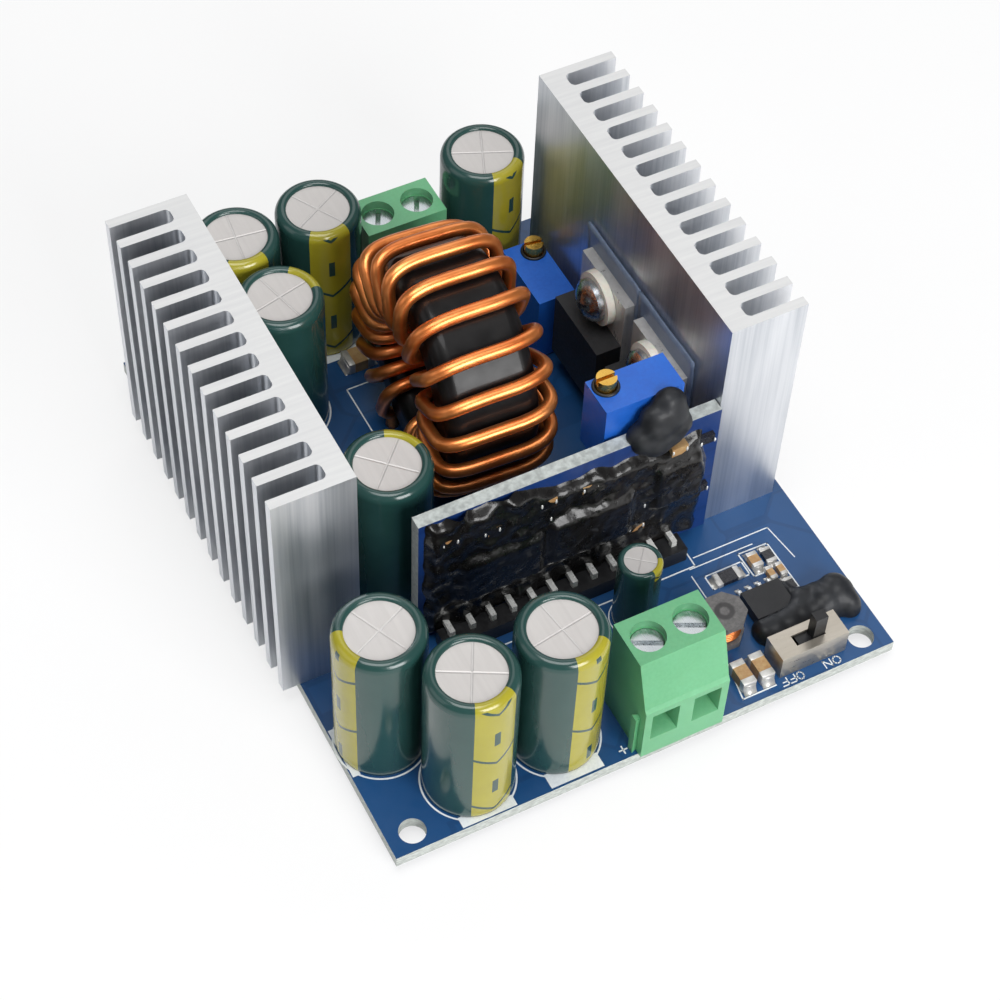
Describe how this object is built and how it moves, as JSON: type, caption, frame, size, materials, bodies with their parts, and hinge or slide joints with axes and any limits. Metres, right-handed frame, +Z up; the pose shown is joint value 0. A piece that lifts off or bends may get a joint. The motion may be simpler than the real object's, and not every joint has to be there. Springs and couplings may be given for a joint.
{
  "type": "buck converter module",
  "caption": "Step-down DC-DC converter board with a toroidal choke between two finned heatsinks, screw terminals, trimmers, an upright control board and a slide switch.",
  "frame": {"origin": "centre of the four mounting holes, on the underside of the board", "axes": "+Z up from the board, -Y towards the input terminal and the switch, +X along the board's width"},
  "size_m": [0.0634, 0.076, 0.0355],
  "materials": {
    "board_blue": "glossy solder mask with white printing",
    "tin": "bright tinned solder",
    "extruded_aluminium": "mill finish",
    "can_aluminium": "satin",
    "sleeve_green": "glossy shrunk sleeve with yellow marks",
    "core_black": "glossy coating",
    "copper_wire": "clear enamel over copper",
    "terminal_green": "satin moulding",
    "screw_steel": "bright plated steel",
    "trimmer_blue": "satin moulding",
    "brass_screw": "turned brass",
    "package_black": "matt moulded epoxy",
    "tab_metal": "tinned copper",
    "pad_silicone": "translucent bluish sheet",
    "bush_nylon": "ivory nylon",
    "control_blue": "glossy solder mask",
    "strip_black": "satin moulding",
    "ferrite": "sintered ferrite",
    "chip_ceramic": "fired ceramic with tinned ends",
    "chip_black": "glazed film on ceramic",
    "sealant": "glossy poured silicone",
    "shell_nickel": "warm plated sheet steel"
  },
  "bodies": {
    "module": {"circuit_board": "board_blue", "solder_joints": "tin", "heatsink_left": "extruded_aluminium", "heatsink_right": "extruded_aluminium", "input_can_1": "can_aluminium", "input_can_2": "can_aluminium", "input_can_3": "can_aluminium", "middle_can": "can_aluminium", "output_can_1": "can_aluminium", "output_can_2": "can_aluminium", "output_can_3": "can_aluminium", "output_can_4": "can_aluminium", "small_can": "can_aluminium", "input_sleeve_1": "sleeve_green", "input_sleeve_2": "sleeve_green", "input_sleeve_3": "sleeve_green", "middle_sleeve": "sleeve_green", "output_sleeve_1": "sleeve_green", "output_sleeve_2": "sleeve_green", "output_sleeve_3": "sleeve_green", "output_sleeve_4": "sleeve_green", "small_sleeve": "sleeve_green", "toroid_core": "core_black", "toroid_winding": "copper_wire", "choke_drum_winding": "copper_wire", "input_terminal_housing": "terminal_green", "output_terminal_housing": "terminal_green", "terminal_contacts": "screw_steel", "fixing_screws": "screw_steel", "voltage_trimmer_body": "trimmer_blue", "current_trimmer_body": "trimmer_blue", "mosfet_1": "package_black", "mosfet_2": "package_black", "rectifier": "package_black", "integrated_circuits": "package_black", "transistor_tabs": "tab_metal", "insulating_pads": "pad_silicone", "insulating_bushes": "bush_nylon", "control_board": "control_blue", "header_strip": "strip_black", "switch_base": "strip_black", "header_pins": "tin", "choke_drum": "ferrite", "chip_capacitors": "chip_ceramic", "chip_resistors": "chip_black", "black_sealant": "sealant", "switch_shell": "shell_nickel"},
    "switch_lever": {"switch_slider": "strip_black"},
    "voltage_adjuster": {"voltage_trimmer_screw": "brass_screw"},
    "current_adjuster": {"current_trimmer_screw": "brass_screw"},
    "input_clamp_screw_1": {"input_screw_1": "screw_steel"},
    "input_clamp_cage_1": {"input_cage_1": "screw_steel"},
    "input_clamp_screw_2": {"input_screw_2": "screw_steel"},
    "input_clamp_cage_2": {"input_cage_2": "screw_steel"},
    "output_clamp_screw_1": {"output_screw_1": "screw_steel"},
    "output_clamp_cage_1": {"output_cage_1": "screw_steel"},
    "output_clamp_screw_2": {"output_screw_2": "screw_steel"},
    "output_clamp_cage_2": {"output_cage_2": "screw_steel"}
  },
  "joints": [
    {"name": "switch_slide", "type": "slide", "parent": "module", "child": "switch_lever", "axis": [-1, 0, 0], "range_m": [0, 0.002]},
    {"name": "voltage_adjust", "type": "hinge", "parent": "module", "child": "voltage_adjuster", "pos_m": [0.00817, -0.00859, 0.02643], "axis": [0, 0, 1], "continuous": true},
    {"name": "current_adjust", "type": "hinge", "parent": "module", "child": "current_adjuster", "pos_m": [0.0174, 0.02413, 0.01163], "axis": [0, 0, 1], "continuous": true},
    {"name": "input_clamp_turn_1", "type": "hinge", "parent": "module", "child": "input_clamp_screw_1", "pos_m": [0.00059, -0.03288, 0.0136], "axis": [0, 0, -1], "range_deg": [0, 1800]},
    {"name": "input_clamp_lift_1", "type": "slide", "parent": "module", "child": "input_clamp_cage_1", "axis": [0, 0, 1], "range_m": [0, 0.00225]},
    {"name": "input_clamp_turn_2", "type": "hinge", "parent": "module", "child": "input_clamp_screw_2", "pos_m": [0.00567, -0.03288, 0.0136], "axis": [0, 0, -1], "range_deg": [0, 1800]},
    {"name": "input_clamp_lift_2", "type": "slide", "parent": "module", "child": "input_clamp_cage_2", "axis": [0, 0, 1], "range_m": [0, 0.00225]},
    {"name": "output_clamp_turn_1", "type": "hinge", "parent": "module", "child": "output_clamp_screw_1", "pos_m": [0.00612, 0.03288, 0.0136], "axis": [0, 0, -1], "range_deg": [0, 1800]},
    {"name": "output_clamp_lift_1", "type": "slide", "parent": "module", "child": "output_clamp_cage_1", "axis": [0, 0, 1], "range_m": [0, 0.00225]},
    {"name": "output_clamp_turn_2", "type": "hinge", "parent": "module", "child": "output_clamp_screw_2", "pos_m": [0.00104, 0.03288, 0.0136], "axis": [0, 0, -1], "range_deg": [0, 1800]},
    {"name": "output_clamp_lift_2", "type": "slide", "parent": "module", "child": "output_clamp_cage_2", "axis": [0, 0, 1], "range_m": [0, 0.00225]}
  ],
  "couplings": [
    {"joint": "input_clamp_turn_1", "follows": "input_clamp_lift_1", "rad_per_m": 13963},
    {"joint": "input_clamp_turn_2", "follows": "input_clamp_lift_2", "rad_per_m": 13963},
    {"joint": "output_clamp_turn_1", "follows": "output_clamp_lift_1", "rad_per_m": 13963},
    {"joint": "output_clamp_turn_2", "follows": "output_clamp_lift_2", "rad_per_m": 13963}
  ]
}
